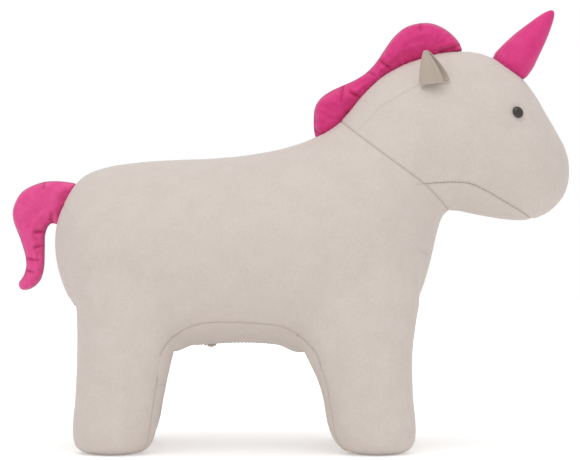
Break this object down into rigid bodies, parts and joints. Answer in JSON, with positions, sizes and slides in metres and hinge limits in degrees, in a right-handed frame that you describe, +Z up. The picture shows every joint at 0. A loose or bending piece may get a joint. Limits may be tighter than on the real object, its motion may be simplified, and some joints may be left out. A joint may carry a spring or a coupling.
{
  "type": "plush unicorn",
  "caption": "Stuffed standing unicorn for a child to sit on, in pale cloth, with a soft mane, tail, horn and folded ears.",
  "frame": {"origin": "on the floor, under the middle of the overall length and width", "axes": "+X towards the muzzle, +Y to the animal's left, +Z up"},
  "size_m": [0.802, 0.3006, 0.6285],
  "materials": {
    "cream_fabric": "short napped microfibre, matt",
    "ear_fabric": "short napped microfibre, matt",
    "pink_fabric": "short velour, soft sheen",
    "fibre_filling": "polyester fibre, packed firm",
    "eye_plastic": "polished dark brown",
    "washer_plastic": "plain moulded",
    "sole_board": "pressed fibreboard",
    "zip_tape": "woven tape",
    "zip_plastic": "moulded nylon"
  },
  "bodies": {
    "body": {"belly_gusset": "cream_fabric", "body_side_left": "cream_fabric", "body_side_right": "cream_fabric", "chin_gusset": "cream_fabric", "eye_left": "eye_plastic", "eye_right": "eye_plastic", "eye_washer_left": "washer_plastic", "eye_washer_right": "washer_plastic", "front_inner_leg_left": "cream_fabric", "front_inner_leg_right": "cream_fabric", "front_leg_filling_left": "fibre_filling", "front_leg_filling_right": "fibre_filling", "front_sole_board_left": "sole_board", "front_sole_board_right": "sole_board", "front_sole_left": "cream_fabric", "front_sole_right": "cream_fabric", "head_filling": "fibre_filling", "head_side_left": "cream_fabric", "head_side_right": "cream_fabric", "mane_seam_strip": "pink_fabric", "rear_inner_leg_left": "cream_fabric", "rear_inner_leg_right": "cream_fabric", "rear_leg_filling_left": "fibre_filling", "rear_leg_filling_right": "fibre_filling", "rear_sole_board_left": "sole_board", "rear_sole_board_right": "sole_board", "rear_sole_left": "cream_fabric", "rear_sole_right": "cream_fabric", "tail_seam_strip": "pink_fabric", "torso_filling": "fibre_filling", "zip_coil": "zip_plastic", "zip_stop_front": "zip_plastic", "zip_stop_rear": "zip_plastic", "zip_tape_left": "zip_tape", "zip_tape_right": "zip_tape"},
    "mane": {"mane_panel_left": "pink_fabric", "mane_panel_right": "pink_fabric", "mane_filling": "fibre_filling"},
    "tail": {"tail_panel_left": "pink_fabric", "tail_panel_right": "pink_fabric", "tail_filling": "fibre_filling"},
    "horn": {"horn_cover": "pink_fabric", "horn_filling": "fibre_filling"},
    "ear_left": {"ear_outer_left": "cream_fabric", "ear_lining_left": "ear_fabric"},
    "ear_right": {"ear_outer_right": "cream_fabric", "ear_lining_right": "ear_fabric"},
    "zip_slider": {"zip_slider": "zip_plastic"}
  },
  "joints": [
    {"name": "mane_fold", "type": "hinge", "parent": "body", "child": "mane", "pos_m": [0.042, 0, 0.452], "axis": [0.8545, 0, 0.5194], "range_deg": [-20, 20], "stiffness_Nm_per_rad": 1},
    {"name": "tail_swing", "type": "hinge", "parent": "body", "child": "tail", "pos_m": [-0.327, 0, 0.3538], "axis": [0.3792, 0, 0.9253], "range_deg": [-40, 40], "stiffness_Nm_per_rad": 0.3},
    {"name": "horn_tilt", "type": "hinge", "parent": "body", "child": "horn", "pos_m": [0.3158, 0, 0.5484], "axis": [0, 1, 0], "range_deg": [-10, 10], "stiffness_Nm_per_rad": 1.5},
    {"name": "ear_left_flap", "type": "hinge", "parent": "body", "child": "ear_left", "pos_m": [0.201, 0.074, 0.531], "axis": [-0.9664, -0.2092, -0.1494], "range_deg": [-25, 35], "stiffness_Nm_per_rad": 0.1},
    {"name": "ear_right_flap", "type": "hinge", "parent": "body", "child": "ear_right", "pos_m": [0.201, -0.074, 0.531], "axis": [0.9664, -0.2092, 0.1494], "range_deg": [-25, 35], "stiffness_Nm_per_rad": 0.1},
    {"name": "zip_slider_run", "type": "hinge", "parent": "body", "child": "zip_slider", "pos_m": [-0.065, 0, -0.2678], "axis": [0, 1, 0], "range_deg": [0, 13]}
  ]
}
